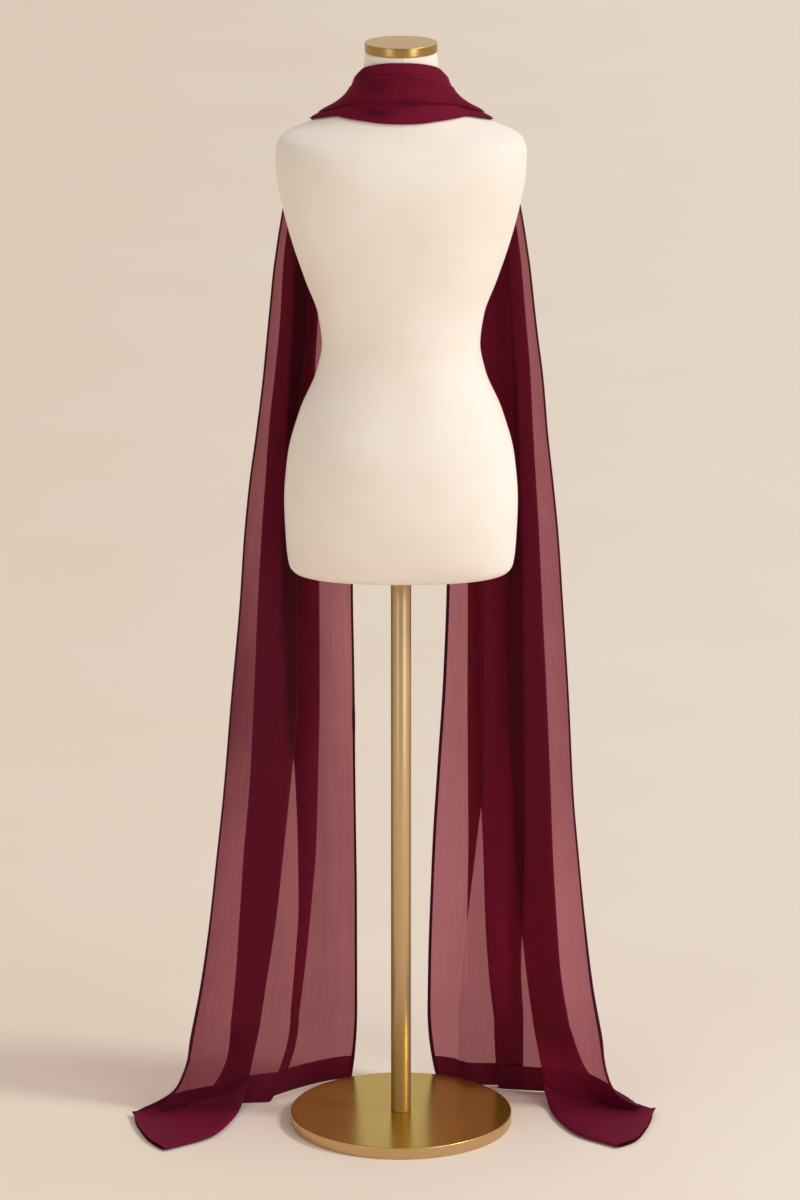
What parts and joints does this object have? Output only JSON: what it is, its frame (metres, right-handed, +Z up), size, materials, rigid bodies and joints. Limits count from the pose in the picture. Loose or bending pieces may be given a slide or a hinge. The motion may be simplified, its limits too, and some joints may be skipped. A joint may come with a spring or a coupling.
{
  "type": "chiffon scarf on a limbless dress form",
  "caption": "Long sheer scarf folded round the back of a limbless dress form's neck, its ends hanging in deep folds to the floor; the form stands on a pole and a round base.",
  "frame": {"origin": "centre of the round base's underside, on the floor", "axes": "+Z up along the pole; -Y out of the form's back, where the scarf crosses the neck; +Y out of its front, where both ends hang; +X to the right, seen from the back"},
  "size_m": [0.7899, 0.3574, 1.65],
  "materials": {
    "chiffon": "sheer plain-weave chiffon, wine red, darker where layers lie over each other",
    "form_cover": "matt cream jersey stretched over the padded form",
    "stand_metal": "satin brass"
  },
  "bodies": {
    "root": {"scarf_neck_wrap": "chiffon", "scarf_left_fall": "chiffon", "scarf_right_fall": "chiffon", "dress_form_body": "form_cover", "neck_cap": "stand_metal", "stand_pole": "stand_metal", "stand_base": "stand_metal"}
  },
  "joints": []
}
